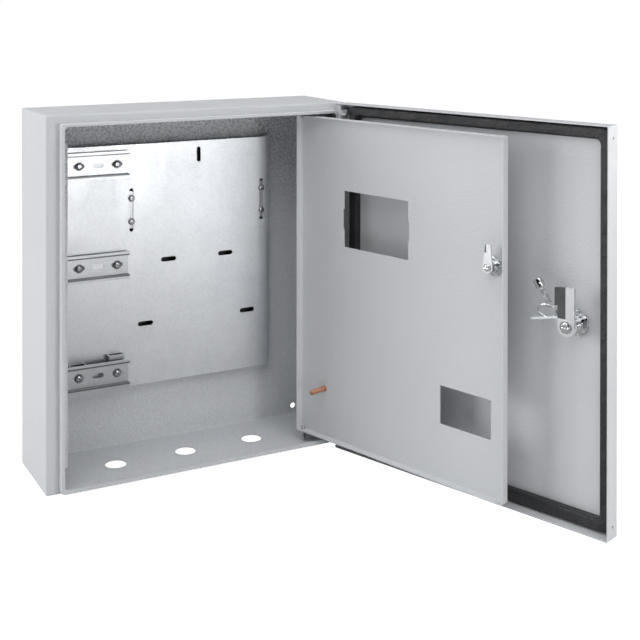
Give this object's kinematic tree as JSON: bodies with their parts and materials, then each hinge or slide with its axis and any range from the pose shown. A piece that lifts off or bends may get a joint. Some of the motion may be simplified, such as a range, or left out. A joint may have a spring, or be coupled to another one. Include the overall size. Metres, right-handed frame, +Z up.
{
  "type": "electrical enclosure",
  "caption": "Grey wall-mounted sheet-steel meter cabinet with a gasketed outer door, a windowed inner door, cam locks, a mounting plate and top-hat rails",
  "frame": {"origin": "middle of the four wall-fixing holes, on the wall plane at the cabinet's back", "axes": "+X to the right seen from the front, where both doors are hinged, +Y into the wall, +Z up"},
  "size_m": [0.5231, 0.5027, 0.4475],
  "materials": {
    "grey_powder_coat": "light grey fine-textured powder coat",
    "zinc_plated_steel": "bright zinc on sheet steel",
    "foam_gasket": "foamed-in-place black polyurethane",
    "chromed_zinc": "polished chrome on die-cast zinc",
    "copper_plated_stud": "copper-plated steel",
    "nylon_tie": "natural nylon"
  },
  "bodies": {
    "cabinet": {"cabinet_shell": "grey_powder_coat", "hinge_post": "grey_powder_coat", "closing_strip": "grey_powder_coat", "mounting_plate": "zinc_plated_steel", "din_rail_top": "zinc_plated_steel", "din_rail_middle": "zinc_plated_steel", "din_rail_bottom": "zinc_plated_steel", "rail_spacers": "zinc_plated_steel", "rail_screws": "zinc_plated_steel", "meter_clamp_bar_left": "zinc_plated_steel", "meter_clamp_bar_right": "zinc_plated_steel", "clamp_bar_screws": "zinc_plated_steel", "outer_hinge_arm_upper": "grey_powder_coat", "outer_hinge_arm_lower": "grey_powder_coat", "inner_pivot_pin_lower": "zinc_plated_steel", "inner_pivot_pin_upper": "zinc_plated_steel", "inner_pivot_sleeve_lower": "zinc_plated_steel", "inner_pivot_sleeve_upper": "zinc_plated_steel", "inner_pivot_washers": "zinc_plated_steel"},
    "outer_door_leaf": {"outer_door": "grey_powder_coat", "door_gasket": "foam_gasket", "outer_hinge_ear_upper": "grey_powder_coat", "outer_hinge_ear_lower": "grey_powder_coat", "outer_hinge_pin_upper": "zinc_plated_steel", "outer_hinge_pin_lower": "zinc_plated_steel", "outer_lock_body": "chromed_zinc", "outer_lock_nut": "chromed_zinc", "lock_key": "chromed_zinc", "key_tie": "nylon_tie"},
    "outer_lock_turning": {"outer_lock_core": "chromed_zinc", "outer_lock_cam": "zinc_plated_steel", "outer_cam_screw": "chromed_zinc"},
    "inner_door_leaf": {"inner_door": "grey_powder_coat", "earth_stud": "copper_plated_stud", "inner_lock_body": "chromed_zinc", "inner_lock_nut": "chromed_zinc"},
    "inner_lock_turning": {"inner_lock_core": "chromed_zinc", "inner_lock_cam": "zinc_plated_steel", "inner_cam_screw": "chromed_zinc"}
  },
  "joints": [
    {"name": "outer_door_hinge", "type": "hinge", "parent": "cabinet", "child": "outer_door_leaf", "pos_m": [0.192, -0.1305, 0], "axis": [0, 0, 1], "range_deg": [-109.03, 0]},
    {"name": "outer_lock_turn", "type": "hinge", "parent": "outer_door_leaf", "child": "outer_lock_turning", "pos_m": [0.28277, -0.45885, 0], "axis": [-0.9453, -0.3261, 0], "range_deg": [-90, 0]},
    {"name": "inner_door_hinge", "type": "hinge", "parent": "cabinet", "child": "inner_door_leaf", "pos_m": [0.147, -0.0965, 0], "axis": [0, 0, 1], "range_deg": [-107.02, 0]},
    {"name": "inner_lock_turn", "type": "hinge", "parent": "inner_door_leaf", "child": "inner_lock_turning", "pos_m": [0.22705, -0.39097, 0.0575], "axis": [-0.9562, -0.2927, 0], "range_deg": [-90, 0]}
  ],
  "couplings": [
    {"joint": "inner_door_hinge", "follows": "outer_door_hinge", "ratio": 0.98157}
  ]
}
